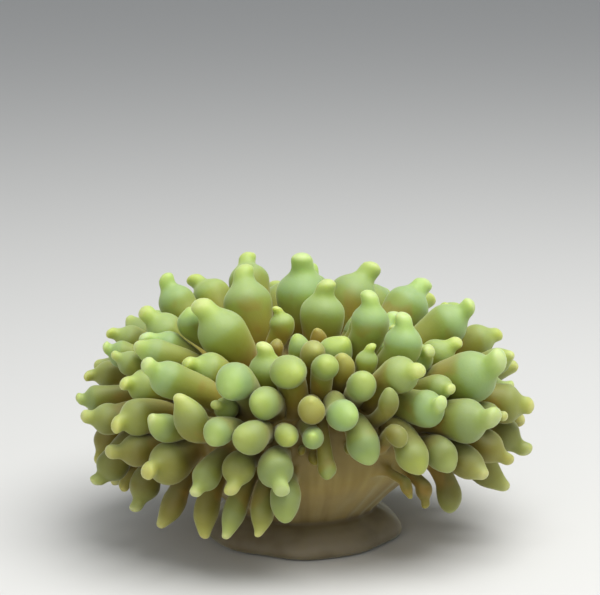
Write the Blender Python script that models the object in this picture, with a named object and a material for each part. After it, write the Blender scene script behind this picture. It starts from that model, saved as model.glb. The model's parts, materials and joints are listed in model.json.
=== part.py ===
"""Bubble-tip sea anemone at life size: a foot, a flaring column and an oral disc that carries seven
whorls of swollen, nippled tentacles around a small mouth.

Metres, +Z up, standing on z = 0, with the middle of its box over the origin.
"""

import math

import bmesh
import bpy
import numpy as np
from mathutils import Vector

MM = 0.001
GAP = 0.3  # between neighbouring solids, mm
SOLIDS = "sea_anemone"

# Lengths below are millimetres and angles degrees. Azimuth 0 is +X, 90 is the back, -90 the front.

# Foot and column, as radius and height from the top of each to its bottom.
FOOT = ((0.0, 8.0), (19.2, 8.0), (21.5, 7.0), (25.0, 4.2), (26.0, 1.4), (24.6, 0.0), (0.0, 0.0))
COLUMN_SIDE = ((32.0, 23.9), (28.2, 18.4), (23.6, 12.8), (19.8, 9.3), (18.6, 8.3))
MOUTH = ((0.0, 40.5), (2.4, 42.6), (5.0, 45.3), (6.9, 45.2))

# Where one band of the disc ends and the next begins: its skin, and how deep the band reaches.
BAND_SKIN = (
    (7.6, 45.1),
    (13.2, 44.3),
    (21.2, 44.4),
    (28.4, 43.2),
    (33.8, 40.4),
    (37.0, 35.4),
    (36.0, 30.0),
    (32.3, 24.2),
)
BAND_CORE = (
    (7.6, 38.0),
    (13.2, 38.0),
    (20.6, 38.0),
    (25.4, 37.4),
    (28.6, 35.6),
    (30.4, 33.2),
    (30.2, 29.4),
    (28.0, 26.4),
)

TILT = 0.053  # the crown leans towards the front by this much in one
TILT_FROM, TILT_FULL = 8.0, 30.0  # heights between which the lean comes in
OVAL = 0.14  # how much wider the crown is from side to side than from front to back

# The notch is a place where the rim is drawn in and up, so that the column shows below it.
NOTCH_AT, NOTCH_WIDTH = -76.0, 17.0
NOTCH_PULL, NOTCH_LIFT = 3.6, 3.0

AROUND = 24  # sides of the turned solids
MOST_STEP, LEAST_STEP = 14.0, 1.0  # degrees that a bare stretch of a band spans

MIDDLE = (0.5, 2.5)  # the middle of the crown's box, which stands over the origin in the end


class Whorl:
    """One ring of tentacles on its own band of the disc."""

    def __init__(self, name, count, start, bulb_at, bulb, pitch, parts, reach=1.6):
        self.name = name
        self.count = count
        self.start = start  # azimuth of the first tentacle
        self.bulb_at = bulb_at  # radius and height of the bulbs' middles
        self.bulb = bulb  # a bulb's radius
        self.pitch = pitch  # how steeply the tips point
        self.parts = parts  # solids that the ring is parted into
        self.reach = reach  # tip beyond the bulb's middle, in bulb radii


WHORLS = (
    Whorl("lip", 6, 10.0, (10.5, 58.0), 4.7, 84.0, 2, 1.65),
    Whorl("inner", 12, 91.0, (22.0, 57.0), 5.4, 72.0, 4, 1.65),
    Whorl("crest", 20, 91.0, (32.8, 53.6), 5.2, 46.0, 7, 1.7),
    Whorl("shoulder", 28, -10.0, (41.0, 47.6), 4.6, 25.0, 9, 1.75),
    Whorl("brim", 29, 2.0, (45.4, 39.2), 4.4, 3.0, 9, 1.85),
    Whorl("skirt", 26, -8.0, (45.6, 30.8), 4.3, -30.0, 9, 1.9),
    Whorl("hem", 24, -13.0, (42.0, 20.0), 4.0, -62.0, 8, 2.4),
)
BARE = {"hem": 12.0}  # half-width of the gap that the notch leaves in a whorl

# Tentacles that stand out from their whorl, by their number round it: turned along it by so many
# degrees, lifted or drawn out by so many millimetres, larger by this factor, or lying otherwise.
APART = {
    "lip": {
        0: dict(out=5, lift=-3, size=0.7),
        1: dict(turn=-14, lift=-2, size=1.08, form="bottle"),
        2: dict(out=-3.5, lift=-2.4, size=0.56),
        3: dict(turn=18, lift=-5, size=0.5),
        4: dict(turn=28, lift=-4, size=0.58, form="spindle"),
        5: dict(turn=14, out=6, lift=-5, size=0.65, form="bottle"),
    },
    "inner": {
        0: dict(turn=-4, lift=-0.5, size=1.03, pitch=86, form="bottle"),
        1: dict(turn=8, lift=-1, size=1.1, pitch=66, form="bottle"),
        2: dict(lift=-5, size=0.8),
        3: dict(out=5, lift=2, size=0.6),
        4: dict(turn=-10, out=1.5, size=1.12, pitch=58, lead=-20, form="bottle"),
        5: dict(lift=-6, size=0.6),
        6: dict(turn=-3, lift=-2.5, size=0.75),
        7: dict(turn=4, lift=-3, size=1.05, form="ball"),
        8: dict(turn=-2, lift=5.5, size=1.03, pitch=86, form="bottle"),
        9: dict(lift=-6.5, size=0.8),
        10: dict(lift=-6, size=0.75),
        11: dict(lift=-7, size=0.6),
    },
    "crest": {
        0: dict(lift=-2, size=0.8),
        1: dict(turn=3, lift=5, size=0.92, form="bottle"),
        2: dict(lift=3.5, size=0.8, form="bottle"),
        3: dict(lift=5, size=0.9, form="bottle"),
        4: dict(lift=-1.5, size=0.85),
        5: dict(out=-2, lift=-1, size=0.85),
        6: dict(turn=-7, out=3, lift=-2, size=0.85, pitch=22, lead=-15),
        7: dict(lift=-5, size=0.9, pitch=25, lead=-25, form="bottle"),
        8: dict(out=-2, lift=-4, size=0.6),
        9: dict(turn=-3, lift=-4, size=1.2, pitch=84, form="bottle"),
        10: dict(turn=3, lift=0.5, size=0.78),
        11: dict(turn=8, lift=-2, size=0.95),
        12: dict(turn=9, lift=-0.5, size=0.62, pitch=80),
        13: dict(turn=3, lift=3.5, pitch=84, form="bottle"),
        14: dict(turn=-3, lift=-5, size=0.85, pitch=30),
        15: dict(lift=-3.5, size=0.72),
        16: dict(turn=-3, lift=3, pitch=36, form="bottle"),
        17: dict(turn=-7, out=2, lift=0, size=0.42, pitch=80),
        18: dict(turn=-8, lift=-1, size=0.95, pitch=48, form="bottle"),
        19: dict(turn=-6, lift=-3.5, size=1.12, lead=-28, form="bottle"),
    },
    "shoulder": {
        0: dict(turn=-18, lift=1.5, size=1.33, pitch=28, form="bottle"),
        1: dict(turn=-12, out=3, size=0.82),
        2: dict(turn=-8, out=1, lift=2, size=0.78),
        12: dict(lift=2, size=0.75),
        13: dict(lift=2, size=0.75),
        14: dict(turn=2, lift=1, size=0.8),
        15: dict(turn=-1, lift=-3, size=0.9),
        16: dict(turn=12, lift=2.5, size=1.17, lead=-28, form="bottle"),
        17: dict(turn=4, lift=-3, size=0.7),
        18: dict(turn=4, lift=4.5, size=1.18, pitch=10, form="ball"),
        19: dict(turn=4, lift=0, size=1.15, pitch=8, form="ball"),
        20: dict(turn=4, lift=0.5, size=1.15, pitch=12, form="ball"),
        21: dict(turn=1, lift=1, form="ball"),
        22: dict(turn=-4, lift=1, size=1.1, form="ball"),
        23: dict(turn=-7, out=2, lift=-3, size=1.15, form="ball"),
        24: dict(turn=-7, lift=-1, size=1.18, form="ball"),
        25: dict(turn=-10, lift=1, size=1.2, form="ball"),
        26: dict(turn=-14, lift=-3, size=1.15, form="ball"),
        27: dict(turn=-17, lift=-2, size=0.78, pitch=5, form="bottle"),
    },
    "brim": {
        0: dict(out=-4, size=0.9),
        12: dict(lift=2, size=0.75),
        13: dict(out=1.5, size=0.8),
        14: dict(out=1.5, lift=-3.5, size=1.05, form="bottle"),
        16: dict(turn=4, lift=2, size=0.9, pitch=30),
        17: dict(turn=1, lift=4.5, pitch=72, lead=-35, form="spindle"),
        18: dict(lift=5, size=0.9, form="ball"),
        19: dict(turn=-1, lift=2.5, size=1.25, form="ball"),
        20: dict(turn=-4, lift=1, size=0.8, form="ball"),
        21: dict(turn=-4, lift=2, size=0.85),
        22: dict(turn=-6, out=-3, lift=-11, size=0.8, pitch=-35, form="ball"),
        23: dict(turn=-2, lift=0, size=1.25, pitch=-50, form="ball"),
        24: dict(turn=-3, lift=6, size=0.8, pitch=72, form="spindle"),
        25: dict(turn=-6, lift=-3.5, pitch=-35, lead=-25, form="ball"),
        26: dict(turn=-2, lift=2, size=1.25, pitch=8, form="bottle"),
        27: dict(lift=-1, size=0.8),
        28: dict(out=2, lift=-2.5),
    },
    "skirt": {
        12: dict(lift=-5, size=0.8, pitch=-62),
        13: dict(lift=-7.5, pitch=-50),
        14: dict(turn=3, lift=2, size=1.1, pitch=0, form="bottle"),
        15: dict(turn=2, size=1.2, pitch=5, form="bottle"),
        16: dict(turn=4, pitch=-38),
        17: dict(turn=2, lift=1, pitch=-38),
        18: dict(turn=2, lift=3.5, size=1.3, pitch=-32, lead=22),
        19: dict(out=-6, lift=2, size=0.35),
        20: dict(turn=-5, out=-7, lift=0, size=0.4),
        21: dict(out=-7, lift=2, size=0.4),
        22: dict(turn=1, lift=9, size=0.85, form="ball"),
        23: dict(turn=5, lift=4, size=0.9, pitch=-25, lead=-15),
        25: dict(lift=-1, size=0.85),
    },
    "hem": {
        0: dict(lift=2.5, pitch=-45),
        12: dict(lift=2, size=0.8),
        14: dict(lift=-3.5, size=0.9),
        15: dict(lift=-2, size=0.85),
        17: dict(turn=-4, size=0.85),
        18: dict(turn=-8, lift=5, size=1.15, pitch=-40),
        21: dict(turn=2, lift=6, size=0.5, pitch=-60),
        22: dict(turn=-3, lift=2, size=0.62, pitch=-75),
        23: dict(turn=-2, lift=-1.5, size=0.7, pitch=-80),
    },
}


def bump(azimuth, middle, width):
    """1 at middle and falling smoothly to 0 on both sides of it."""
    away = (azimuth - middle + 180.0) % 360.0 - 180.0
    return math.exp(-((away / width) ** 2))


def growth(azimuth):
    """How large the tentacles are on this side of the crown: largest at the back, smallest by the notch."""
    back = 1.02 + 0.22 * math.cos(math.radians(azimuth - 85.0))
    notch = -0.14 * bump(azimuth, -72.0, 20.0)
    right = 0.12 * bump(azimuth, -30.0, 18.0)
    left = 0.08 * bump(azimuth, -140.0, 18.0)
    return back + notch + right + left


def ramp(value, low, high):
    part = min(max((value - low) / (high - low), 0.0), 1.0)
    return part * part * (3.0 - 2.0 * part)


def body_point(radius, height, azimuth):
    """A point of the turned body, after the lean of the crown and the notch in its rim."""
    turn = math.radians(azimuth)
    notch = bump(azimuth, NOTCH_AT, NOTCH_WIDTH) * ramp(radius, 24.0, 36.0) * ramp(height, 20.0, 33.0)
    oval = OVAL * ramp(radius, 12.0, 36.0) * ramp(height, 10.0, 28.0)
    radius = radius * (1.0 + oval * math.cos(turn) ** 2) - NOTCH_PULL * notch
    height += NOTCH_LIFT * notch
    x, y = radius * math.cos(turn), radius * math.sin(turn)
    return np.array((x, y, height + TILT * y * ramp(height, TILT_FROM, TILT_FULL)))


def spread(whorl):
    """Azimuths of a whorl's tentacles: closer together where they are small."""
    fine = np.arange(0.0, 360.5, 0.5)
    room = np.array([1.0 / growth(whorl.start + a) for a in fine])
    share = np.concatenate(([0.0], np.cumsum((room[1:] + room[:-1]) / 2)))
    steps = np.arange(whorl.count) * share[-1] / whorl.count
    return whorl.start + np.interp(steps, share, fine)


# Shape of one tentacle: how wide it is along its length, in bulb radii. Place 0 is its root, 1 the
# middle of its bulb and 2 its tip.
FORMS = {
    "bottle": ((0.22, 0.58), (0.78, 0.92), (1.25, 0.92), (1.66, 0.42), (2.0, 0.3)),
    "ball": ((0.3, 0.6), (0.85, 0.97), (1.4, 0.93), (2.0, 0.32)),
    "spindle": ((0.3, 0.66), (0.9, 1.0), (1.5, 0.78), (2.0, 0.3)),
}
MIX = ("bottle", "spindle", "bottle", "ball", "bottle")  # taken in turn round a whorl
BALL_REACH = 0.8  # a ball's tip stands out less than a bottle's
MOST_STALK = 2.7  # radius of the widest root
SIDES, FIRST_CORNER = 5, -126.0  # sides of a tentacle, and the lower left corner seen from outside
ROUND_UP = 1.1  # a five-sided tentacle is drawn this much larger, to keep the round one's bulk
ROOT_ROOM = 0.42  # the first cross-section's radius is no more than this much of its seat's width
WIDEST_SEAT = 8.0  # a tentacle's seat on its band is no wider than this
CORE_GAP = 0.9  # between the bands and the column inside them

# Tentacles are set by rule, then moved apart until no two touch.
SETTLE_TURNS = 90
FREE_TURNS = 30  # of these, the last, in which nothing pulls a bulb back to its place
HOLD = 0.12
CLEAR = 0.65
LEAST_STAND = 2.4  # a bulb's middle is at least this far out from its band


def wobble(number, kind):
    """An even scatter between -1 and 1 that is the same every time."""
    return ((number * 0.618034 + kind * 0.381966 + 0.11) % 1.0) * 2.0 - 1.0


class Tentacle:
    def __init__(self, whorl, band, number, azimuth):
        apart = APART.get(whorl.name, {}).get(number, {})
        azimuth += apart.get("turn", 0.0)
        grown = growth(azimuth) * (1.0 + 0.12 * wobble(number, 1)) * apart.get("size", 1.0)
        skin = [(a + b) / 2 for a, b in zip(BAND_SKIN[band], BAND_SKIN[band + 1])]
        along = np.array(BAND_SKIN[band + 1]) - np.array(BAND_SKIN[band])
        turn = math.radians(azimuth)
        aside = np.array((math.cos(turn), math.sin(turn), 0.0))
        up = np.array((0.0, 0.0, 1.0))
        self.whorl = whorl
        self.azimuth = azimuth
        self.radius = whorl.bulb * grown
        self.root = body_point(skin[0], skin[1], azimuth)
        self.out = (aside * -along[1] + up * along[0]) / np.linalg.norm(along)
        reach = whorl.bulb_at[0] + 1.0 * wobble(number, 2) + apart.get("out", 0.0)
        height = whorl.bulb_at[1] + 1.2 * wobble(number, 3) + apart.get("lift", 0.0)
        self.home = body_point(reach, height, azimuth)
        self.bulb = self.home.copy()
        self.form = apart.get("form", MIX[number % len(MIX)])
        self.tip_length = self.radius * whorl.reach * (BALL_REACH if self.form == "ball" else 1.0)
        pitch = math.radians(apart.get("pitch", whorl.pitch + 10.0 * wobble(number, 5)))
        lead = turn + math.radians(apart.get("lead", 14.0 * wobble(number, 6)))
        level = np.array((math.cos(lead), math.sin(lead), 0.0))
        self.lie = level * math.cos(pitch) + up * math.sin(pitch)

    def at(self, place):
        """Where the tentacle's axis is: from the root at 0 through the bulb's middle at 1 to the tip at 2."""
        if place > 1.0:
            return self.bulb + self.lie * self.tip_length * (place - 1.0)
        length = np.linalg.norm(self.bulb - self.root)
        rise = self.root + self.out * 0.4 * length
        enter = self.bulb - self.lie * 0.33 * length
        rest = 1.0 - place
        return (
            self.root * rest**3
            + rise * 3 * rest**2 * place
            + enter * 3 * rest * place**2
            + self.bulb * place**3
        )

    def width(self, place):
        """Radius of the tentacle there."""
        places, widths = zip(*FORMS[self.form])
        wide = float(np.interp(place, places, widths)) * self.radius
        stalk = min(wide, MOST_STALK)
        return stalk + (wide - stalk) * ramp(place, 0.0, 0.35)


BEADS = ((0.3, 0.3), (0.55, 0.6), (0.8, 0.9), (1.0, 1.0), (1.35, 1.0), (1.75, 1.0))


def settle(tentacles):
    """Moves the bulbs apart, and towards where each belongs, until they lie side by side."""
    count = len(tentacles)
    owner = np.repeat(np.arange(count), len(BEADS))
    share = np.tile([moves for _, moves in BEADS], count)
    wide = np.array([t.width(place) for t in tentacles for place, _ in BEADS])
    apart = wide[:, None] + wide[None, :] + CLEAR
    apart[owner[:, None] == owner[None, :]] = 0.0
    for turn in range(SETTLE_TURNS):
        beads = np.array([t.at(place) for t in tentacles for place, _ in BEADS])
        between = beads[:, None] - beads[None, :]
        distance = np.sqrt((between**2).sum(axis=2)) + 1e-9
        press = np.maximum(apart - distance, 0.0) / distance
        push = (between * press[:, :, None]).sum(axis=1) * share[:, None] * 0.5
        for index, tentacle in enumerate(tentacles):
            tentacle.bulb += push[owner == index].sum(axis=0) * 0.6
            if turn < SETTLE_TURNS - FREE_TURNS:
                tentacle.bulb += (tentacle.home - tentacle.bulb) * HOLD
    for tentacle in tentacles:
        stand = (tentacle.bulb - tentacle.root).dot(tentacle.out)
        tentacle.bulb += tentacle.out * max(LEAST_STAND - stand, 0.0)


def grow():
    """Every tentacle of the crown, settled."""
    tentacles = []
    for band, whorl in enumerate(WHORLS):
        for number, azimuth in enumerate(spread(whorl)):
            from_notch = abs((azimuth - NOTCH_AT + 180.0) % 360.0 - 180.0)
            if from_notch >= BARE.get(whorl.name, 0.0):
                tentacles.append(Tentacle(whorl, band, number, azimuth))
    settle(tentacles)
    return tentacles


# ---- Blender objects ----

FINISHES = {
    "foot": ((0.24, 0.17, 0.09), 0.72),
    "column": ((0.38, 0.27, 0.17), 0.68),
    "mouth": ((0.42, 0.30, 0.13), 0.55),
    "tentacle": ((0.30, 0.42, 0.19), 0.5),
}


def finish(name):
    colour, roughness = FINISHES[name]
    material = bpy.data.materials.get(name) or bpy.data.materials.new(name)
    material.use_nodes = True
    shader = material.node_tree.nodes["Principled BSDF"]
    shader.inputs["Base Color"].default_value = (*colour, 1.0)
    shader.inputs["Roughness"].default_value = roughness
    shader.inputs["Metallic"].default_value = 0.0
    return material


def metres(point):
    return Vector(((point[0] - MIDDLE[0]) * MM, (point[1] - MIDDLE[1]) * MM, point[2] * MM))


def solid(name, mesh, look):
    data = bpy.data.meshes.new(name)
    mesh.to_mesh(data)
    mesh.free()
    data.materials.append(finish(look))
    data.shade_smooth()
    data.set_sharp_from_angle(angle=math.radians(50))
    piece = bpy.data.objects.new(name, data)
    bpy.data.collections[SOLIDS].objects.link(piece)
    return piece


def turned(name, profile, look):
    """A solid turned from an outline that starts and ends on the axis and runs down its outer side."""
    mesh = bmesh.new()
    steps = [360.0 * step / AROUND for step in range(AROUND)]
    rings = [[mesh.verts.new(metres(body_point(r, z, azimuth))) for r, z in profile] for azimuth in steps]
    for here, there in zip(rings, rings[1:] + rings[:1]):
        for corner in range(len(profile) - 1):
            mesh.faces.new((here[corner], here[corner + 1], there[corner + 1], there[corner]))
    bmesh.ops.remove_doubles(mesh, verts=mesh.verts, dist=0.01 * MM)
    return solid(name, mesh, look)


def ring_of(tentacle, place, wide):
    """Corners of the tentacle's cross-section there, in the order of its seat's corners."""
    step = 0.02
    ahead = tentacle.at(place + step) - tentacle.at(place - step)
    ahead /= np.linalg.norm(ahead)
    turn = math.radians(tentacle.azimuth)
    side = np.array((-math.sin(turn), math.cos(turn), 0.0))
    side -= ahead * side.dot(ahead)
    side /= np.linalg.norm(side)
    above = np.cross(ahead, side)
    corners = []
    for corner in range(SIDES):
        angle = math.radians(FIRST_CORNER + 360.0 / SIDES * corner)
        offset = side * math.cos(angle) + above * math.sin(angle)
        corners.append(metres(tentacle.at(place) + offset * wide))
    return corners


def draw_out(mesh, seat, tentacle):
    """Draws a tentacle out of its seat, ring after ring; the first ring stays off its neighbours."""
    room = (seat.verts[0].co - seat.verts[1].co).length / MM * ROOT_ROOM
    face = seat
    for place, _ in FORMS[tentacle.form]:
        wide = min(tentacle.width(place) * ROUND_UP, room)
        room = math.inf
        face = bmesh.ops.extrude_discrete_faces(mesh, faces=[face])["faces"][0]
        for vert, corner in zip(face.verts, ring_of(tentacle, place, wide)):
            vert.co = corner


def cells(ring, radius):
    """The band's stretches in order round it, each (from, to, its tentacle or None)."""
    widest = math.degrees(WIDEST_SEAT / radius) / 2
    stretches = []
    for number, tentacle in enumerate(ring):
        after = ring[(number + 1) % len(ring)].azimuth
        after += 360.0 if number == len(ring) - 1 else 0.0
        before = ring[number - 1].azimuth - (360.0 if number == 0 else 0.0)
        start = tentacle.azimuth - min(widest, (tentacle.azimuth - before) / 2)
        end = tentacle.azimuth + min(widest, (after - tentacle.azimuth) / 2)
        stretches.append((start, end, tentacle))
        next_start = after - min(widest, (after - tentacle.azimuth) / 2)
        bare = next_start - end
        pieces = math.ceil(bare / MOST_STEP) if bare > LEAST_STEP else 0
        for piece in range(pieces):
            stretches.append((end + bare * piece / pieces, end + bare * (piece + 1) / pieces, None))
    return stretches


def band_outline(band):
    """Corners of the cut through one band, pulled in from its neighbours by half a gap."""
    top, bottom = np.array(BAND_SKIN[band]), np.array(BAND_SKIN[band + 1])
    top_core, bottom_core = np.array(BAND_CORE[band]), np.array(BAND_CORE[band + 1])
    inset = (bottom - top) / np.linalg.norm(bottom - top) * GAP / 2
    inset_core = (bottom_core - top_core) / np.linalg.norm(bottom_core - top_core) * 1.5 * GAP
    return top + inset, bottom - inset, bottom_core - inset_core, top_core + inset_core


def band_piece(name, band, stretches):
    """One solid of a whorl: its stretch of the band, with the tentacles that grow there."""
    outline = band_outline(band)
    half_gap = math.degrees(GAP / 2 / min(r for r, _ in outline))
    bounds = [start for start, _, _ in stretches] + [stretches[-1][1]]
    bounds[0] += half_gap
    bounds[-1] -= half_gap
    mesh = bmesh.new()
    rows = [[mesh.verts.new(metres(body_point(r, z, at))) for r, z in outline] for at in bounds]
    mesh.faces.new(reversed(rows[0]))
    mesh.faces.new(rows[-1])
    for left, right, at, until, (_, _, tentacle) in zip(rows, rows[1:], bounds, bounds[1:], stretches):
        middle = mesh.verts.new(metres(body_point(*outline[0], (at + until) / 2)))
        seat = mesh.faces.new((left[1], right[1], right[0], middle, left[0]))
        mesh.faces.new((left[0], middle, right[0], right[3], left[3]))
        mesh.faces.new((right[1], left[1], left[2], right[2]))
        mesh.faces.new((right[2], left[2], left[3], right[3]))
        if tentacle:
            draw_out(mesh, seat, tentacle)
    return solid(name, mesh, "tentacle")


def crown(tentacles):
    """Each whorl's band of the disc, cut between tentacles into a few solids that carry them."""
    for band, whorl in enumerate(WHORLS):
        ring = [t for t in tentacles if t.whorl is whorl]
        stretches = cells(ring, (BAND_SKIN[band][0] + BAND_SKIN[band + 1][0]) / 2)
        cuts = [round(len(stretches) * part / whorl.parts) for part in range(whorl.parts + 1)]
        for part, (first, last) in enumerate(zip(cuts, cuts[1:])):
            band_piece(f"{whorl.name}_{part + 1}", band, stretches[first:last])


def column_outline():
    """The column's top lies a gap inside the bands, and its side runs down to the foot."""
    top = []
    for skin, core in zip(BAND_SKIN, BAND_CORE):
        inward = np.array(core) - np.array(skin)
        top.append(np.array(core) + inward / np.linalg.norm(inward) * CORE_GAP)
    return [(0.0, top[0][1])] + top[1:] + list(COLUMN_SIDE) + [(0.0, COLUMN_SIDE[-1][1])]


def mouth_outline():
    edge = BAND_SKIN[0][0] - 2 * GAP
    return list(MOUTH) + [(edge, BAND_CORE[0][1]), (0.0, BAND_CORE[0][1])]


def main():
    for obj in list(bpy.data.objects):
        bpy.data.objects.remove(obj)
    bpy.context.scene.collection.children.link(bpy.data.collections.new(SOLIDS))
    turned("foot", FOOT, "foot")
    turned("column", column_outline(), "column")
    turned("mouth", mouth_outline(), "mouth")
    crown(grow())


main()
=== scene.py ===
"""Looks of the bubble-tip sea anemone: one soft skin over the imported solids, a pale studio floor and light.

The skin is a single closed mesh. Rings are extruded into belts of the disc, the belts are bridged and
carried down the column and foot, and every tentacle is drawn out of its own seat on a belt.
"""

import json
import math

import bmesh
import bpy
import numpy as np
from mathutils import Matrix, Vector

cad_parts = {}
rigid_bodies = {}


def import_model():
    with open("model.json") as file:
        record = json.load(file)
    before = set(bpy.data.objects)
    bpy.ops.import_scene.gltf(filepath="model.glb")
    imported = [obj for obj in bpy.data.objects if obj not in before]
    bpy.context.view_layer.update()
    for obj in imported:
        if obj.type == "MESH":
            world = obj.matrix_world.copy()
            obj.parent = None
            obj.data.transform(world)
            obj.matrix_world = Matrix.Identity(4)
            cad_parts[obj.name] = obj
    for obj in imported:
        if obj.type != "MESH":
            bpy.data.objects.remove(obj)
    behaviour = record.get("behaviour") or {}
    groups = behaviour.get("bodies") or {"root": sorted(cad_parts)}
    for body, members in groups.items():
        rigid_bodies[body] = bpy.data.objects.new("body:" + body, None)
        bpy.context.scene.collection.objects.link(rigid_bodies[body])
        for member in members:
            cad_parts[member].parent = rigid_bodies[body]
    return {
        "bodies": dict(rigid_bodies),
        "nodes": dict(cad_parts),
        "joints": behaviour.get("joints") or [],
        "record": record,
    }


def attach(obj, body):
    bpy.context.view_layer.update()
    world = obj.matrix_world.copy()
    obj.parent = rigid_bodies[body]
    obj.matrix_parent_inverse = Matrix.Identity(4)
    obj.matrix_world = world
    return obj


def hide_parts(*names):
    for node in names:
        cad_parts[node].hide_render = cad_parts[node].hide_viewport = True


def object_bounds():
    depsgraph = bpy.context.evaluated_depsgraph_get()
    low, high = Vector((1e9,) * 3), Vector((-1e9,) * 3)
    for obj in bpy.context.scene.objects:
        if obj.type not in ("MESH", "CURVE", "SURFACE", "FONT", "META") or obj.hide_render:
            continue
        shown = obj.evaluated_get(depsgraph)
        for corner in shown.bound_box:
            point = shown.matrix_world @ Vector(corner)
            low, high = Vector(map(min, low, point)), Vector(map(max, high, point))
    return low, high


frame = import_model()
solid_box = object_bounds()

MM = 0.001
MIDDLE = (0.5, 2.5)  # the middle of the crown's box, which stands over the origin

# Lengths below are millimetres and angles degrees. Azimuth 0 is +X, 90 is the back, -90 the front.

# ---- Where everything grows, as in the solids ----

BELT_EDGES = (  # radius and height of the edges between the disc's belts, from the mouth outwards
    (7.6, 45.1),
    (13.2, 44.3),
    (21.2, 44.4),
    (28.4, 43.2),
    (33.8, 40.4),
    (37.0, 35.4),
    (36.0, 30.0),
    (32.3, 24.2),
)
TILT = 0.053  # the crown leans towards the front by this much in one
TILT_FROM, TILT_FULL = 8.0, 30.0  # heights between which the lean comes in
OVAL = 0.14  # how much wider the crown is from side to side than from front to back
OVAL_RADII, OVAL_HEIGHTS = (12.0, 36.0), (10.0, 28.0)  # between which the oval comes in
NOTCH_AT, NOTCH_WIDTH = -76.0, 17.0  # where the rim is drawn in and up
NOTCH_PULL, NOTCH_LIFT = 3.6, 3.0
NOTCH_RADII, NOTCH_HEIGHTS = (24.0, 36.0), (20.0, 33.0)  # between which the notch comes in


class Whorl:
    """One ring of tentacles on its own belt of the disc."""

    def __init__(self, name, count, start, bulb_at, bulb, pitch, reach):
        self.name = name
        self.count = count
        self.start = start  # azimuth of the first tentacle
        self.bulb_at = bulb_at  # radius and height of the bulbs' middles
        self.bulb = bulb  # a bulb's radius
        self.pitch = pitch  # how steeply the tips point
        self.reach = reach  # tip beyond the bulb's middle, in bulb radii


WHORLS = (
    Whorl("lip", 6, 10.0, (10.5, 58.0), 4.7, 84.0, 1.65),
    Whorl("inner", 12, 91.0, (22.0, 57.0), 5.4, 72.0, 1.65),
    Whorl("crest", 20, 91.0, (32.8, 53.6), 5.2, 46.0, 1.7),
    Whorl("shoulder", 28, -10.0, (41.0, 47.6), 4.6, 25.0, 1.75),
    Whorl("brim", 29, 2.0, (45.4, 39.2), 4.4, 3.0, 1.85),
    Whorl("skirt", 26, -8.0, (45.6, 30.8), 4.3, -30.0, 1.9),
    Whorl("hem", 24, -13.0, (42.0, 20.0), 4.0, -62.0, 2.4),
)
BARE = {"hem": 12.0}  # half-width of the gap that the notch leaves in a whorl

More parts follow.
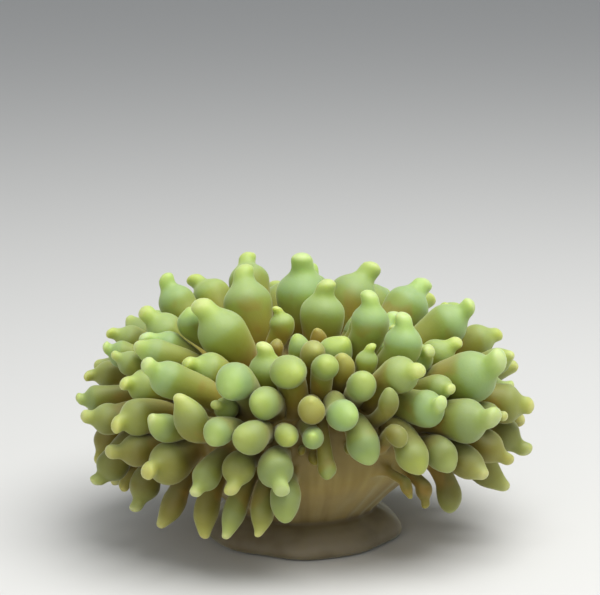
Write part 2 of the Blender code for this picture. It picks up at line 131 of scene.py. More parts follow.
# Tentacles that stand out from their whorl, by their number round it: turned along it by so many
# degrees, lifted or drawn out by so many millimetres, larger by this factor, or lying otherwise.
APART = {
    "lip": {
        0: dict(out=5, lift=-3, size=0.7),
        1: dict(turn=-14, lift=-2, size=1.08, form="bottle"),
        2: dict(out=-3.5, lift=-2.4, size=0.56),
        3: dict(turn=18, lift=-5, size=0.5),
        4: dict(turn=28, lift=-4, size=0.58, form="spindle"),
        5: dict(turn=14, out=6, lift=-5, size=0.65, form="bottle"),
    },
    "inner": {
        0: dict(turn=-4, lift=-0.5, size=1.03, pitch=86, form="bottle"),
        1: dict(turn=8, lift=-1, size=1.1, pitch=66, form="bottle"),
        2: dict(lift=-5, size=0.8),
        3: dict(out=5, lift=2, size=0.6),
        4: dict(turn=-10, out=1.5, size=1.12, pitch=58, lead=-20, form="bottle"),
        5: dict(lift=-6, size=0.6),
        6: dict(turn=-3, lift=-2.5, size=0.75),
        7: dict(turn=4, lift=-3, size=1.05, form="ball"),
        8: dict(turn=-2, lift=5.5, size=1.03, pitch=86, form="bottle"),
        9: dict(lift=-6.5, size=0.8),
        10: dict(lift=-6, size=0.75),
        11: dict(lift=-7, size=0.6),
    },
    "crest": {
        0: dict(lift=-2, size=0.8),
        1: dict(turn=3, lift=5, size=0.92, form="bottle"),
        2: dict(lift=3.5, size=0.8, form="bottle"),
        3: dict(lift=5, size=0.9, form="bottle"),
        4: dict(lift=-1.5, size=0.85),
        5: dict(out=-2, lift=-1, size=0.85),
        6: dict(turn=-7, out=3, lift=-2, size=0.85, pitch=22, lead=-15),
        7: dict(lift=-5, size=0.9, pitch=25, lead=-25, form="bottle"),
        8: dict(out=-2, lift=-4, size=0.6),
        9: dict(turn=-3, lift=-4, size=1.2, pitch=84, form="bottle"),
        10: dict(turn=3, lift=0.5, size=0.78),
        11: dict(turn=8, lift=-2, size=0.95),
        12: dict(turn=9, lift=-0.5, size=0.62, pitch=80),
        13: dict(turn=3, lift=3.5, pitch=84, form="bottle"),
        14: dict(turn=-3, lift=-5, size=0.85, pitch=30),
        15: dict(lift=-3.5, size=0.72),
        16: dict(turn=-3, lift=3, pitch=36, form="bottle"),
        17: dict(turn=-7, out=2, lift=0, size=0.42, pitch=80),
        18: dict(turn=-8, lift=-1, size=0.95, pitch=48, form="bottle"),
        19: dict(turn=-6, lift=-3.5, size=1.12, lead=-28, form="bottle"),
    },
    "shoulder": {
        0: dict(turn=-18, lift=1.5, size=1.33, pitch=28, form="bottle"),
        1: dict(turn=-12, out=3, size=0.82),
        2: dict(turn=-8, out=1, lift=2, size=0.78),
        12: dict(lift=2, size=0.75),
        13: dict(lift=2, size=0.75),
        14: dict(turn=2, lift=1, size=0.8),
        15: dict(turn=-1, lift=-3, size=0.9),
        16: dict(turn=12, lift=2.5, size=1.17, lead=-28, form="bottle"),
        17: dict(turn=4, lift=-3, size=0.7),
        18: dict(turn=4, lift=4.5, size=1.18, pitch=10, form="ball"),
        19: dict(turn=4, lift=0, size=1.15, pitch=8, form="ball"),
        20: dict(turn=4, lift=0.5, size=1.15, pitch=12, form="ball"),
        21: dict(turn=1, lift=1, form="ball"),
        22: dict(turn=-4, lift=1, size=1.1, form="ball"),
        23: dict(turn=-7, out=2, lift=-3, size=1.15, form="ball"),
        24: dict(turn=-7, lift=-1, size=1.18, form="ball"),
        25: dict(turn=-10, lift=1, size=1.2, form="ball"),
        26: dict(turn=-14, lift=-3, size=1.15, form="ball"),
        27: dict(turn=-17, lift=-2, size=0.78, pitch=5, form="bottle"),
    },
    "brim": {
        0: dict(out=-4, size=0.9),
        12: dict(lift=2, size=0.75),
        13: dict(out=1.5, size=0.8),
        14: dict(out=1.5, lift=-3.5, size=1.05, form="bottle"),
        16: dict(turn=4, lift=2, size=0.9, pitch=30),
        17: dict(turn=1, lift=4.5, pitch=72, lead=-35, form="spindle"),
        18: dict(lift=5, size=0.9, form="ball"),
        19: dict(turn=-1, lift=2.5, size=1.25, form="ball"),
        20: dict(turn=-4, lift=1, size=0.8, form="ball"),
        21: dict(turn=-4, lift=2, size=0.85),
        22: dict(turn=-6, out=-3, lift=-11, size=0.8, pitch=-35, form="ball"),
        23: dict(turn=-2, lift=0, size=1.25, pitch=-50, form="ball"),
        24: dict(turn=-3, lift=6, size=0.8, pitch=72, form="spindle"),
        25: dict(turn=-6, lift=-3.5, pitch=-35, lead=-25, form="ball"),
        26: dict(turn=-2, lift=2, size=1.25, pitch=8, form="bottle"),
        27: dict(lift=-1, size=0.8),
        28: dict(out=2, lift=-2.5),
    },
    "skirt": {
        12: dict(lift=-5, size=0.8, pitch=-62),
        13: dict(lift=-7.5, pitch=-50),
        14: dict(turn=3, lift=2, size=1.1, pitch=0, form="bottle"),
        15: dict(turn=2, size=1.2, pitch=5, form="bottle"),
        16: dict(turn=4, pitch=-38),
        17: dict(turn=2, lift=1, pitch=-38),
        18: dict(turn=2, lift=3.5, size=1.3, pitch=-32, lead=22),
        19: dict(out=-6, lift=2, size=0.35),
        20: dict(turn=-5, out=-7, lift=0, size=0.4),
        21: dict(out=-7, lift=2, size=0.4),
        22: dict(turn=1, lift=9, size=0.85, form="ball"),
        23: dict(turn=5, lift=4, size=0.9, pitch=-25, lead=-15),
        25: dict(lift=-1, size=0.85),
    },
    "hem": {
        0: dict(lift=2.5, pitch=-45),
        12: dict(lift=2, size=0.8),
        14: dict(lift=-3.5, size=0.9),
        15: dict(lift=-2, size=0.85),
        17: dict(turn=-4, size=0.85),
        18: dict(turn=-8, lift=5, size=1.15, pitch=-40),
        21: dict(turn=2, lift=6, size=0.5, pitch=-60),
        22: dict(turn=-3, lift=2, size=0.62, pitch=-75),
        23: dict(turn=-2, lift=-1.5, size=0.7, pitch=-80),
    },
}


def bump(azimuth, middle, width):
    """1 at middle and falling smoothly to 0 on both sides of it."""
    away = (azimuth - middle + 180.0) % 360.0 - 180.0
    return math.exp(-((away / width) ** 2))


# How large the tentacles are: their mean size, how much larger they are at the back, and then how much
# smaller by the notch and larger on the right and left, each with its azimuth and width.
SIZE, SIZE_SWING, LARGEST_AT = 1.02, 0.22, 85.0
SIZE_CHANGES = ((-0.14, -72.0, 20.0), (0.12, -30.0, 18.0), (0.08, -140.0, 18.0))


def growth(azimuth):
    """How large the tentacles are on this side of the crown."""
    size = SIZE + SIZE_SWING * math.cos(math.radians(azimuth - LARGEST_AT))
    for change, middle, width in SIZE_CHANGES:
        size += change * bump(azimuth, middle, width)
    return size


def ramp(value, low, high):
    """0 up to low, 1 from high on, and smoothly between them."""
    part = min(max((value - low) / (high - low), 0.0), 1.0)
    return part * part * (3.0 - 2.0 * part)


NUMBER_STEP, KIND_STEP, FIRST_STEP = 0.618034, 0.381966, 0.11  # the golden section scatters most evenly


def wobble(number, kind):
    """An even scatter between -1 and 1 that is the same every time."""
    return ((number * NUMBER_STEP + kind * KIND_STEP + FIRST_STEP) % 1.0) * 2.0 - 1.0


def body_point(radius, height, azimuth):
    """A point of the turned body, after the lean of the crown and the notch in its rim."""
    turn = math.radians(azimuth)
    notch = bump(azimuth, NOTCH_AT, NOTCH_WIDTH) * ramp(radius, *NOTCH_RADII) * ramp(height, *NOTCH_HEIGHTS)
    oval = OVAL * ramp(radius, *OVAL_RADII) * ramp(height, *OVAL_HEIGHTS)
    radius = radius * (1.0 + oval * math.cos(turn) ** 2) - NOTCH_PULL * notch
    height += NOTCH_LIFT * notch
    x, y = radius * math.cos(turn), radius * math.sin(turn)
    return np.array((x, y, height + TILT * y * ramp(height, TILT_FROM, TILT_FULL)))


FINE = 0.5  # degrees between the points where a whorl's room is measured


def spread(whorl):
    """Azimuths of a whorl's tentacles: closer together where they are small."""
    fine = np.arange(0.0, 360.0 + FINE, FINE)
    room = np.array([1.0 / growth(whorl.start + a) for a in fine])
    share = np.concatenate(([0.0], np.cumsum((room[1:] + room[:-1]) / 2)))
    steps = np.arange(whorl.count) * share[-1] / whorl.count
    return whorl.start + np.interp(steps, share, fine)


# How wide a tentacle's solid is along its length, in bulb radii: place 0 is its root, 1 the middle of
# its bulb and 2 its tip.
FORMS = {
    "bottle": ((0.22, 0.58), (0.78, 0.92), (1.25, 0.92), (1.66, 0.42), (2.0, 0.3)),
    "ball": ((0.3, 0.6), (0.85, 0.97), (1.4, 0.93), (2.0, 0.32)),
    "spindle": ((0.3, 0.66), (0.9, 1.0), (1.5, 0.78), (2.0, 0.3)),
}
MIX = ("bottle", "spindle", "bottle", "ball", "bottle")  # taken in turn round a whorl
BALL_REACH = 0.8  # a ball's tip stands out less than a bottle's
MOST_STALK, STALK_TO = 2.7, 0.35  # radius of the widest stalk, and the place where the bulb takes over
ROOT_PULL, BULB_PULL = 0.4, 0.33  # how stiffly a stalk leaves its root and enters its bulb, in its lengths
SCATTER = {"size": 0.12, "out": 1.0, "lift": 1.2, "pitch": 10.0, "lead": 14.0}  # how neighbours differ

# Tentacles are set by rule, then moved apart until no two touch.
SETTLE_TURNS = 90
FREE_TURNS = 30  # of these, the last, in which nothing pulls a bulb back to its place
HOLD = 0.12  # share of the way back that it is pulled in a turn
PUSH, GIVE = 0.5, 0.6  # each of two takes half of an overlap, and gives way by this share of it in a turn
CLEAR = 0.65  # between neighbours
LEAST_STAND = 2.4  # a bulb's middle is at least this far out from its belt
BEADS = ((0.3, 0.3), (0.55, 0.6), (0.8, 0.9), (1.0, 1.0), (1.35, 1.0), (1.75, 1.0))  # place, share in moves


class Tentacle:
    """A tentacle's root on its belt, its bulb, the way its tip lies, and how wide it is."""

    def __init__(self, whorl, belt, number, azimuth):
        apart = APART.get(whorl.name, {}).get(number, {})
        azimuth += apart.get("turn", 0.0)
        grown = growth(azimuth) * (1.0 + SCATTER["size"] * wobble(number, 1)) * apart.get("size", 1.0)
        skin = [(a + b) / 2 for a, b in zip(BELT_EDGES[belt], BELT_EDGES[belt + 1])]
        along = np.array(BELT_EDGES[belt + 1]) - np.array(BELT_EDGES[belt])
        turn = math.radians(azimuth)
        aside = np.array((math.cos(turn), math.sin(turn), 0.0))
        up = np.array((0.0, 0.0, 1.0))
        self.whorl = whorl
        self.number = number
        self.azimuth = azimuth
        self.radius = whorl.bulb * grown
        self.root = body_point(skin[0], skin[1], azimuth)
        self.out = (aside * -along[1] + up * along[0]) / np.linalg.norm(along)
        reach = whorl.bulb_at[0] + SCATTER["out"] * wobble(number, 2) + apart.get("out", 0.0)
        height = whorl.bulb_at[1] + SCATTER["lift"] * wobble(number, 3) + apart.get("lift", 0.0)
        self.home = body_point(reach, height, azimuth)
        self.bulb = self.home.copy()
        self.form = apart.get("form", MIX[number % len(MIX)])
        self.tip_length = self.radius * whorl.reach * (BALL_REACH if self.form == "ball" else 1.0)
        pitch = math.radians(apart.get("pitch", whorl.pitch + SCATTER["pitch"] * wobble(number, 5)))
        lead = turn + math.radians(apart.get("lead", SCATTER["lead"] * wobble(number, 6)))
        level = np.array((math.cos(lead), math.sin(lead), 0.0))
        self.lie = level * math.cos(pitch) + up * math.sin(pitch)

    def stalk_length(self):
        return float(np.linalg.norm(self.bulb - self.root))

    def at(self, place):
        """Where the tentacle's axis is: from the root at 0 through the bulb's middle at 1 to the tip at 2."""
        if place > 1.0:
            return self.bulb + self.lie * self.tip_length * (place - 1.0)
        length = self.stalk_length()
        rise = self.root + self.out * ROOT_PULL * length
        enter = self.bulb - self.lie * BULB_PULL * length
        rest = 1.0 - place
        return (
            self.root * rest**3
            + rise * 3 * rest**2 * place
            + enter * 3 * rest * place**2
            + self.bulb * place**3
        )

    def width(self, place):
        """Radius of the tentacle's solid there."""
        places, widths = zip(*FORMS[self.form])
        wide = float(np.interp(place, places, widths)) * self.radius
        stalk = min(wide, MOST_STALK)
        return stalk + (wide - stalk) * ramp(place, 0.0, STALK_TO)


def settle(tentacles):
    """Moves the bulbs apart, and towards where each belongs, until they lie side by side."""
    count = len(tentacles)
    owner = np.repeat(np.arange(count), len(BEADS))
    share = np.tile([moves for _, moves in BEADS], count)
    wide = np.array([t.width(place) for t in tentacles for place, _ in BEADS])
    apart = wide[:, None] + wide[None, :] + CLEAR
    apart[owner[:, None] == owner[None, :]] = 0.0
    for turn in range(SETTLE_TURNS):
        beads = np.array([t.at(place) for t in tentacles for place, _ in BEADS])
        between = beads[:, None] - beads[None, :]
        distance = np.sqrt((between**2).sum(axis=2)) + 1e-9  # never zero
        press = np.maximum(apart - distance, 0.0) / distance
        push = (between * press[:, :, None]).sum(axis=1) * share[:, None] * PUSH
        for index, tentacle in enumerate(tentacles):
            tentacle.bulb += push[owner == index].sum(axis=0) * GIVE
            if turn < SETTLE_TURNS - FREE_TURNS:
                tentacle.bulb += (tentacle.home - tentacle.bulb) * HOLD
    for tentacle in tentacles:
        stand = (tentacle.bulb - tentacle.root).dot(tentacle.out)
        tentacle.bulb += tentacle.out * max(LEAST_STAND - stand, 0.0)


def grow():
    """Every tentacle of the crown, settled."""
    tentacles = []
    for belt, whorl in enumerate(WHORLS):
        for number, azimuth in enumerate(spread(whorl)):
            from_notch = abs((azimuth - NOTCH_AT + 180.0) % 360.0 - 180.0)
            if from_notch >= BARE.get(whorl.name, 0.0):
                tentacles.append(Tentacle(whorl, belt, number, azimuth))
    settle(tentacles)
    return tentacles


# ---- The skin's own shape ----

# A tentacle's outline. On the root's side its cross-sections lie at these distances from the bulb's
# middle, in bulb radii, and beyond the middle at these shares of the tip's length. Each has a radius in
# bulb radii.
OUTLINES = {
    "bottle": (
        ((0.8, 0.9), (0.4, 1.0)),
        ((0.0, 1.05), (0.2, 1.0), (0.37, 0.82), (0.5, 0.57), (0.63, 0.43), (0.82, 0.47), (0.94, 0.39)),
    ),
    "ball": (
        ((0.8, 0.9), (0.4, 1.0)),
        ((0.0, 1.06), (0.25, 1.04), (0.48, 0.95), (0.66, 0.8), (0.79, 0.64), (0.88, 0.5), (0.94, 0.36)),
    ),
    "spindle": (
        ((0.85, 0.9), (0.4, 0.99)),
        ((0.0, 1.02), (0.22, 0.98), (0.42, 0.86), (0.6, 0.67), (0.76, 0.5), (0.88, 0.4), (0.955, 0.31)),
    ),
}

# Tentacles, by their number in each whorl, whose skin has another form than their solid.
SHOWN = {
    "lip": {4: "ball"},
    "inner": {6: "ball"},
    "crest": {10: "ball", 11: "ball"},
    "shoulder": {13: "bottle", 25: "bottle", 26: "bottle"},
    "brim": {13: "bottle", 24: "ball", 28: "bottle"},
    "skirt": {13: "bottle", 16: "bottle", 18: "bottle", 19: "ball", 20: "ball", 21: "ball", 24: "spindle"},
    "hem": {0: "spindle", 13: "bottle", 14: "spindle", 15: "spindle", 17: "spindle"},
}
STALK = ((0.12, 0.72), (0.42, 0.83))  # places and radii of the cross-sections below the bulb
MOST_ROOT = 3.6  # radius of the widest root
ROUNDING = 1.035  # twelve-sided cross-sections are drawn larger, as subdividing pulls them in
OUT_OF_ROUND = 0.05  # how much a cross-section's two radii differ from its own
DOME = 0.62  # how far the middle of a cross-section's cap stands ahead of its edge, in its radii
SWAY, SWAY_FROM = 0.75, 1.3  # how far tips bend aside, in bulb radii, and the place where they start to
AXIS_STEP = 0.02  # between the places that tell which way a tentacle runs
BALL_SHADE = 0.78  # a ball's end is coloured as this much of a tip
YOUNG = 3.0  # bulbs of a smaller radius are still partly in the colour of their stalks

SEAT_COLUMNS = 5  # points across a tentacle's seat
SEAT_ROOM = 0.88  # share of its stretch of the belt that a seat takes
WIDEST_SEAT = 8.0  # a seat is no wider than this
POINT_TURN = 30.0  # degrees between neighbouring points of a cross-section
LEAST_BARE, BARE_STEP = 3.0, 6.0  # degrees of a belt with no tentacle, and between points there
BELT_ROWS = (0.9, 0.5, 0.1)  # a belt's rows, from its upper edge, as shares of its width
ROWS = len(BELT_ROWS)

# Inwards from the first belt, the mouth, and outwards from the last one, the column and foot. Each
# row has a radius, a height and how far down the body it is: 0 at the crown, 1 column, 2 foot.
MOUTH = ((6.6, 45.4, 0.0), (5.4, 45.6, 0.0), (4.0, 44.6, 0.0), (3.0, 42.9, 0.0), (2.0, 41.6, 0.0))
TRUNK = (
    (31.2, 22.6, 0.4),
    (28.4, 18.6, 0.9),
    (25.2, 14.6, 1.0),
    (22.2, 11.4, 1.0),
    (20.0, 9.2, 1.1),
    (19.2, 8.0, 1.4),
    (20.6, 7.0, 1.8),
    (23.0, 5.6, 2.0),
    (25.2, 3.6, 2.0),
    (25.9, 1.6, 2.0),
    (25.2, 0.3, 2.0),
    (23.6, 0.0, 2.0),
    (12.0, 0.0, 2.0),
)
RIBS, RIB_RISE = 26, 0.3  # the column's upright ribs, and how far they stand out
FOOT_WAVES = ((5, 0.5, 40.0), (9, 0.35, 110.0))  # of the foot's edge: how many round it, how far out, where
FOOT_FROM, FOOT_FULL = 1.2, 2.0  # how far down the body the waves come in

# How brown tentacles are: the outer and lower ones turn brown, most of all at the sides. Their brown colours
# are also darker, as painted shade on the lower whorls.
BROWN_FROM, BROWN_FULL = 1.5, 6.0  # whorls between which they do, the lip being 0
BROWN_AHEAD = 0.6  # share of it at the front and back
BROWN_SCATTER = 0.14
RUSTY = {"lip": (3, 4), "crest": (10, 11), "shoulder": (21,)}  # by the notch, by their number in each whorl
RUST, RUST_FROM, RUST_FULL = 1.3, 1.0, 1.5  # how brown these are, past the brown of all others


def metres(point):
    """A point given in millimetres where Blender has it, with the crown's middle over the origin."""
    return Vector(((point[0] - MIDDLE[0]) * MM, (point[1] - MIDDLE[1]) * MM, point[2] * MM))


def unevenness(azimuth, down):
    """How far the column's ribs and the foot's waves stand out from the plain turned body."""
    ribs = RIB_RISE * max(1.0 - abs(down - 1.0), 0.0) * math.cos(math.radians(RIBS * azimuth))
    waves = sum(out * math.cos(math.radians(count * azimuth + start)) for count, out, start in FOOT_WAVES)
    return ribs + waves * ramp(down, FOOT_FROM, FOOT_FULL)


def shown_form(tentacle):
    """The form of a tentacle's skin."""
    return SHOWN.get(tentacle.whorl.name, {}).get(tentacle.number, tentacle.form)


def sections(tentacle):
    """A tentacle's cross-sections from its root outwards, as places along it and radii."""
    before, beyond = OUTLINES[shown_form(tentacle)]
    rows = list(STALK)
    rows += [(1.0 - away * tentacle.radius / tentacle.stalk_length(), wide) for away, wide in before]
    rows += [(1.0 + share, wide) for share, wide in beyond]
    found = [(place, wide * tentacle.radius) for place, wide in rows]
    root_place, root = found[0]
    return [(root_place, min(root, MOST_ROOT))] + found[1:]


def stretches(ring, radius):
    """A belt's stretches in order round it, each (from, to, its tentacle or None)."""
    widest = math.degrees(WIDEST_SEAT / radius) / 2
    found = []
    for number, tentacle in enumerate(ring):
        after = ring[(number + 1) % len(ring)].azimuth
        after += 360.0 if number == len(ring) - 1 else 0.0
        before = ring[number - 1].azimuth - (360.0 if number == 0 else 0.0)
        start = tentacle.azimuth - min(widest, (tentacle.azimuth - before) / 2)
        end = tentacle.azimuth + min(widest, (after - tentacle.azimuth) / 2)
        found.append((start, end, tentacle))
        bare_until = after - min(widest, (after - tentacle.azimuth) / 2)
        if bare_until - end > LEAST_BARE:
            found.append((end, bare_until, None))
    return found


def belt_columns(ring, radius):
    """A belt's columns of points: the azimuth of each, its tentacle and which column of the seat it is."""
    columns = []
    for start, end, tentacle in stretches(ring, radius):
        if tentacle is None:
            pieces = max(1, round((end - start) / BARE_STEP))
            columns += [(start + (end - start) * (p + 0.5) / pieces, None, 0) for p in range(pieces)]
            continue
        for column in range(SEAT_COLUMNS):
            across = (column / (SEAT_COLUMNS - 1) - 0.5) * SEAT_ROOM
            columns.append(((start + end) / 2 + (end - start) * across, tentacle, column))
    return columns


def seat_corner(column, row):
    """Where a seat's point goes on the round cross-sections drawn out of it, in radii."""
    across = column - (SEAT_COLUMNS - 1) / 2
    if row == 1:
        return across / 2, 0.0
    angle = math.radians(90.0 - POINT_TURN * across)
    return math.cos(angle), math.sin(angle) * (row - 1)


def brown_and_shade_of(tentacle):
    """0 for a green tentacle, 1 for a brown one whose darker colours carry painted shade, and more for a
    rusty one.
    """
    if tentacle.number in RUSTY.get(tentacle.whorl.name, ()):
        return RUST
    outer = ramp(WHORLS.index(tentacle.whorl), BROWN_FROM, BROWN_FULL)
    aside = abs(math.cos(math.radians(tentacle.azimuth)))
    brown = outer * (BROWN_AHEAD + (1.0 - BROWN_AHEAD) * aside)
    return min(max(brown + BROWN_SCATTER * wobble(tentacle.number, 8), 0.0), 1.0)


WORK_MARKS = (
    ("row", "INT"),  # rings of the body, numbered from the first belt outwards
    ("owner", "INT"),  # the tentacle that a point belongs to, counted from 1, or 0
    ("seat_x", "FLOAT"),  # the column of a seat's point, and later its place across the cross-section
    ("seat_y", "FLOAT"),
    ("azimuth", "FLOAT"),
)
FINISH_MARKS = (
    ("along", "FLOAT"),  # 0 on the body, 1 at a bulb's middle, 2 at its tip
    ("down", "FLOAT"),  # 0 on the crown, 1 on the column, 2 on the foot
    ("tint", "FLOAT"),  # one value between 0 and 1 for each tentacle
    ("brown_and_shade_share", "FLOAT"),  # how brown each tentacle is, which also brings in the painted shade of the darker brown colours
)
MARKS = WORK_MARKS + FINISH_MARKS


class Skin:
    """The mesh under work, in edit mode. Each of its points carries the marks above."""

    def __init__(self, tentacles):
        self.tentacles = tentacles
        bpy.ops.object.select_all(action="DESELECT")
        bpy.ops.mesh.primitive_circle_add(vertices=3, radius=MM)
        self.piece = bpy.context.object
        self.piece.name = self.piece.data.name = "anemone_skin"
        for name, kind in MARKS:
            self.piece.data.attributes.new(name, kind, "POINT")
        bpy.ops.object.mode_set(mode="EDIT")
        bpy.ops.mesh.select_all(action="SELECT")
        bpy.ops.mesh.delete(type="VERT")

    def open(self):
        """The mesh and, by name, the layers that hold its marks."""
        mesh = bmesh.from_edit_mesh(self.piece.data)
        layers = {"INT": mesh.verts.layers.int, "FLOAT": mesh.verts.layers.float}
        return mesh, {name: layers[kind][name] for name, kind in MARKS}

    def close(self):
        """Hands the mesh back after a change of points, marks or selection."""
        bmesh.update_edit_mesh(self.piece.data)

    def select_rings(self, *rows):
        """Selects the edges that run round the body in these rows."""
        bpy.ops.mesh.select_mode(type="EDGE")
        bpy.ops.mesh.select_all(action="DESELECT")
        mesh, mark = self.open()
        for edge in mesh.edges:
            first, second = (vert[mark["row"]] for vert in edge.verts)
            edge.select = first == second and first in rows
        self.close()

    def select_seats(self):
        """Selects the faces that tentacles are drawn out of."""
        bpy.ops.mesh.select_mode(type="FACE")
        bpy.ops.mesh.select_all(action="DESELECT")
        mesh, mark = self.open()
        for face in mesh.faces:
            owners = {vert[mark["owner"]] for vert in face.verts}
            face.select = len(owners) == 1 and 0 not in owners
        self.close()

    def add_belt(self, belt, columns):
        """Adds a ring of points, its columns as given, and extrudes it up to the belt's rows."""
        bpy.ops.mesh.select_mode(type="VERT")
        bpy.ops.mesh.select_all(action="DESELECT")
        bpy.ops.mesh.primitive_circle_add(vertices=len(columns), radius=BELT_EDGES[belt][0] * MM)
        mesh, mark = self.open()
        ring = [vert for vert in mesh.verts if vert.select]
        ring.sort(key=lambda vert: math.atan2(vert.co.y, vert.co.x))
        for vert, (azimuth, tentacle, column) in zip(ring, columns):
            vert[mark["azimuth"]] = azimuth
            vert[mark["seat_x"]] = column
            if tentacle:
                vert[mark["owner"]] = self.tentacles.index(tentacle) + 1
                vert[mark["tint"]] = wobble(tentacle.number, 7) / 2 + 0.5
                vert[mark["brown_and_shade_share"]] = brown_and_shade_of(tentacle)
        self.close()
        upper, lower = np.array(BELT_EDGES[belt]), np.array(BELT_EDGES[belt + 1])
        for step, share in enumerate(BELT_ROWS):
            if step:
                bpy.ops.mesh.extrude_region_move()
            radius, height = upper + (lower - upper) * share
            self.lay_ring(radius, height, ROWS * (belt + 1) - step)
        mesh, mark = self.open()
        for vert in mesh.verts:
            row = vert[mark["row"]] - ROWS * belt
            if vert[mark["owner"]] and 1 <= row <= ROWS:
                across, up = seat_corner(round(vert[mark["seat_x"]]), ROWS - row)
                vert[mark["seat_x"]] = across
                vert[mark["seat_y"]] = up
        self.close()

    def lay_ring(self, radius, height, row, down=0.0):
        """Puts the selected ring where the body is that wide and high."""
        mesh, mark = self.open()
        for vert in mesh.verts:
            if vert.select:
                azimuth = vert[mark["azimuth"]]
                vert.co = metres(body_point(radius + unevenness(azimuth, down), height, azimuth))
                vert[mark["row"]] = row
                vert[mark["down"]] = down
        self.close()

    def carry_on(self, last_row, rows):
        """Extrudes the body on from an open ring through more rows, and closes it with a pole."""
        self.select_rings(last_row)
        step = 1 if last_row > 1 else -1
        for count, (radius, height, down) in enumerate(rows, 1):
            bpy.ops.mesh.extrude_region_move()
            mesh, mark = self.open()
            for vert in mesh.verts:
                if vert.select:
                    vert[mark["owner"]] = 0
            self.close()
            self.lay_ring(radius, height, last_row + step * count, down)
        bpy.ops.mesh.extrude_region_move()
        bpy.ops.mesh.merge(type="CENTER")

    def draw_out(self):
        """Extrudes all tentacles together out of their seats, one cross-section after another."""
        self.select_seats()
        rings = [sections(tentacle) for tentacle in self.tentacles]
        for step in range(len(rings[0])):
            bpy.ops.mesh.extrude_region_move()
            frames = [Section(t, *ring[step]) for t, ring in zip(self.tentacles, rings)]
            mesh, mark = self.open()
            for vert in mesh.verts:
                if vert.select:
                    frame = frames[vert[mark["owner"]] - 1]
                    vert.co = frame.point(vert[mark["seat_x"]], vert[mark["seat_y"]])
                    vert[mark["along"]] = frame.shade
                    vert[mark["row"]] = 0
            self.close()

    def done(self):
        """Leaves edit mode, with only the marks that the finish reads."""
        bpy.ops.mesh.select_all(action="SELECT")
        bpy.ops.mesh.normals_make_consistent(inside=False)
        bpy.ops.object.mode_set(mode="OBJECT")
        marks = self.piece.data.attributes
        for name, _ in WORK_MARKS:
            marks.remove(marks[name])
        return self.piece


class Section:
    """One cross-section of a tentacle, square to its axis."""

    def __init__(self, tentacle, place, radius):
        ahead = tentacle.at(place + AXIS_STEP) - tentacle.at(place - AXIS_STEP)
        ahead /= np.linalg.norm(ahead)
        turn = math.radians(tentacle.azimuth)
        side = np.array((-math.sin(turn), math.cos(turn), 0.0))
        side -= ahead * side.dot(ahead)
        side /= np.linalg.norm(side)
        above = np.cross(ahead, side)
        sway = SWAY * tentacle.radius * max(place - SWAY_FROM, 0.0) ** 2
        bend = side * wobble(tentacle.number, 9) + above * wobble(tentacle.number, 10)
        self.side = side * radius * ROUNDING * (1.0 + OUT_OF_ROUND * wobble(tentacle.number, 11))
        self.above = above * radius * ROUNDING * (1.0 + OUT_OF_ROUND * wobble(tentacle.number, 12))
        self.dome = ahead * radius * DOME
        self.middle = tentacle.at(place) + bend * sway
        tip_shade = BALL_SHADE if shown_form(tentacle) == "ball" else 1.0
        grown = min(tentacle.radius / YOUNG, 1.0)
        self.shade = (min(place, 1.0) + max(place - 1.0, 0.0) * tip_shade) * grown

    def point(self, across, up):
        """A point of the cross-section, given in its radii. Those inside its edge stand out as a dome."""
        inside = max(1.0 - across**2 - up**2, 0.0)
        return metres(self.middle + self.side * across + self.above * up + self.dome * inside)


def model_skin(tentacles):
    """The whole animal as one closed mesh: belts, what joins them, column and foot, mouth, tentacles."""
    skin = Skin(tentacles)
    for belt, whorl in enumerate(WHORLS):
        ring = [t for t in tentacles if t.whorl is whorl]
        skin.add_belt(belt, belt_columns(ring, (BELT_EDGES[belt][0] + BELT_EDGES[belt + 1][0]) / 2))
    for belt in range(1, len(WHORLS)):
        skin.select_rings(ROWS * belt, ROWS * belt + 1)
        bpy.ops.mesh.bridge_edge_loops()
    skin.carry_on(ROWS * len(WHORLS), TRUNK)
    skin.carry_on(1, MOUTH)
    skin.draw_out()
    return skin.done()


def apply(piece, kind, **settings):
    """Adds a modifier with these settings and applies it."""
    bpy.ops.object.select_all(action="DESELECT")
    piece.select_set(True)
    bpy.context.view_layer.objects.active = piece
    modifier = piece.modifiers.new(kind.title(), kind)
    for name, value in settings.items():
        setattr(modifier, name, value)
    bpy.ops.object.modifier_apply(modifier=modifier.name)


LUMP_SIZE, LUMP_RISE = 7.0, 1.1  # how wide the flesh's soft lumps are, and how high
LUMPS_FROM = 4.0  # height above which it has them, so that the underside stays flat


def make_lumpy(piece):
    """Swells and sinks the flesh a little, as soft tissue does."""
    lumps = bpy.data.textures.new("soft lumps", "CLOUDS")
    lumps.noise_scale = LUMP_SIZE * MM
    lumps.noise_depth = 1
    above = piece.vertex_groups.new(name="above the foot")
    above.add([v.index for v in piece.data.vertices if v.co.z > LUMPS_FROM * MM], 1.0, "REPLACE")
    apply(piece, "DISPLACE", texture=lumps, strength=LUMP_RISE * MM, mid_level=0.5, vertex_group=above.name)


# ---- Finish ----

